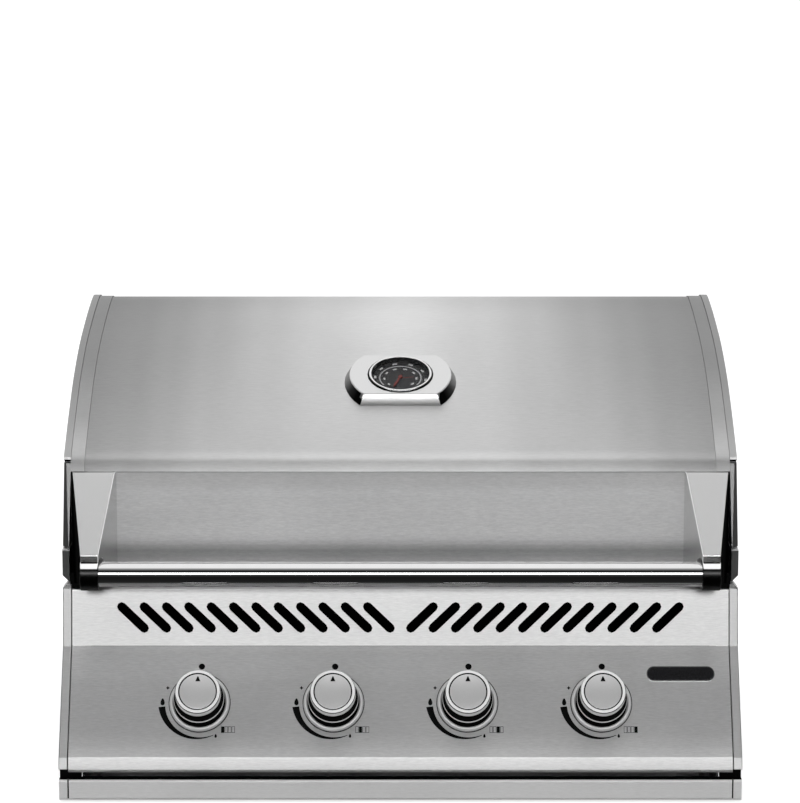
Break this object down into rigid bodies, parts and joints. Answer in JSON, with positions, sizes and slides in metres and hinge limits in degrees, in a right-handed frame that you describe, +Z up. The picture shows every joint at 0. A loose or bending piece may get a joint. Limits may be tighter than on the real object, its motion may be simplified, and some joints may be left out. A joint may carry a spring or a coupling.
{
  "type": "built in gas grill",
  "caption": "Stainless built-in gas grill head: curved hinged lid with bar handle and thermometer, slotted vent band, sloping panel with push-and-turn knobs, grates and pull-out drip tray.",
  "frame": {"origin": "under the middle of the grill, at the level its walls stand on", "axes": "+X to the grill's left-to-right width as seen from the front, the front with the knobs faces -Y, +Z up"},
  "size_m": [0.813, 0.662, 0.53],
  "materials": {
    "brushed_steel": "brushed stainless steel, satin",
    "polished_steel": "polished stainless steel",
    "knob_chrome": "satin chrome face, bright chrome rings",
    "cast_alloy": "cast aluminium, painted metallic grey",
    "sheet_steel": "plain mill-finish stainless sheet",
    "grate_steel": "plain stainless rod",
    "valve_brass": "machined brass",
    "dial_black": "matt black dial",
    "lens_glass": "clear",
    "needle_red": "red paint"
  },
  "bodies": {
    "firebox": {"control_panel": "brushed_steel", "vent_band": "brushed_steel", "fascia_end_left": "brushed_steel", "fascia_end_right": "brushed_steel", "side_wall_left": "sheet_steel", "side_wall_right": "sheet_steel", "front_wall": "sheet_steel", "back_wall": "sheet_steel", "counter_rail_left": "cast_alloy", "counter_rail_right": "cast_alloy", "hinge_pin_left": "polished_steel", "hinge_pin_right": "polished_steel", "gas_manifold": "sheet_steel", "knob_bezel_1": "knob_chrome", "knob_bezel_2": "knob_chrome", "knob_bezel_3": "knob_chrome", "knob_bezel_4": "knob_chrome", "valve_body_1": "valve_brass", "valve_body_2": "valve_brass", "valve_body_3": "valve_brass", "valve_body_4": "valve_brass", "burner_1": "sheet_steel", "burner_2": "sheet_steel", "burner_3": "sheet_steel", "burner_4": "sheet_steel", "heat_plate_1": "sheet_steel", "heat_plate_2": "sheet_steel", "heat_plate_3": "sheet_steel", "heat_plate_4": "sheet_steel", "cooking_grate_1": "grate_steel", "cooking_grate_2": "grate_steel", "cooking_grate_3": "grate_steel", "warming_rack": "grate_steel"},
    "lid": {"lid_skin": "brushed_steel", "lid_trim_left": "brushed_steel", "lid_trim_right": "brushed_steel", "lid_front_panel": "brushed_steel", "lid_end_left": "cast_alloy", "lid_end_right": "cast_alloy", "handle_bracket_left": "brushed_steel", "handle_bracket_right": "brushed_steel", "handle_tube": "polished_steel", "handle_end_left": "polished_steel", "handle_end_right": "polished_steel", "gauge_plate": "brushed_steel", "gauge_case": "polished_steel", "gauge_dial": "dial_black", "gauge_lens": "lens_glass"},
    "needle": {"gauge_needle": "needle_red"},
    "stem_1": {"valve_stem_1": "valve_brass"},
    "stem_2": {"valve_stem_2": "valve_brass"},
    "stem_3": {"valve_stem_3": "valve_brass"},
    "stem_4": {"valve_stem_4": "valve_brass"},
    "knob_1": {"knob_1": "knob_chrome"},
    "knob_2": {"knob_2": "knob_chrome"},
    "knob_3": {"knob_3": "knob_chrome"},
    "knob_4": {"knob_4": "knob_chrome"},
    "tray": {"drip_tray": "sheet_steel", "tray_front": "brushed_steel"}
  },
  "joints": [
    {"name": "lid_hinge", "type": "hinge", "parent": "firebox", "child": "lid", "pos_m": [0, 0.271, 0.328], "axis": [-1, 0, 0], "range_deg": [0, 75]},
    {"name": "needle_pivot", "type": "hinge", "parent": "lid", "child": "needle", "pos_m": [0, -0.05558, 0.46362], "axis": [0, 0.4112, -0.9116], "range_deg": [0, 315]},
    {"name": "valve_1", "type": "hinge", "parent": "firebox", "child": "stem_1", "pos_m": [-0.24, -0.2796, 0.11299], "axis": [0, -0.8445, 0.5355], "range_deg": [0, 195]},
    {"name": "valve_2", "type": "hinge", "parent": "firebox", "child": "stem_2", "pos_m": [-0.08, -0.2796, 0.11299], "axis": [0, -0.8445, 0.5355], "range_deg": [0, 195]},
    {"name": "valve_3", "type": "hinge", "parent": "firebox", "child": "stem_3", "pos_m": [0.08, -0.2796, 0.11299], "axis": [0, -0.8445, 0.5355], "range_deg": [0, 195]},
    {"name": "valve_4", "type": "hinge", "parent": "firebox", "child": "stem_4", "pos_m": [0.24, -0.2796, 0.11299], "axis": [0, -0.8445, 0.5355], "range_deg": [0, 195]},
    {"name": "knob_push_1", "type": "slide", "parent": "stem_1", "child": "knob_1", "axis": [0, 0.8445, -0.5355], "range_m": [0, 0.004], "stiffness_N_per_m": 800, "springref_m": -0.008},
    {"name": "knob_push_2", "type": "slide", "parent": "stem_2", "child": "knob_2", "axis": [0, 0.8445, -0.5355], "range_m": [0, 0.004], "stiffness_N_per_m": 800, "springref_m": -0.008},
    {"name": "knob_push_3", "type": "slide", "parent": "stem_3", "child": "knob_3", "axis": [0, 0.8445, -0.5355], "range_m": [0, 0.004], "stiffness_N_per_m": 800, "springref_m": -0.008},
    {"name": "knob_push_4", "type": "slide", "parent": "stem_4", "child": "knob_4", "axis": [0, 0.8445, -0.5355], "range_m": [0, 0.004], "stiffness_N_per_m": 800, "springref_m": -0.008},
    {"name": "tray_slide", "type": "slide", "parent": "firebox", "child": "tray", "axis": [0, -1, 0], "range_m": [0, 0.38]}
  ]
}
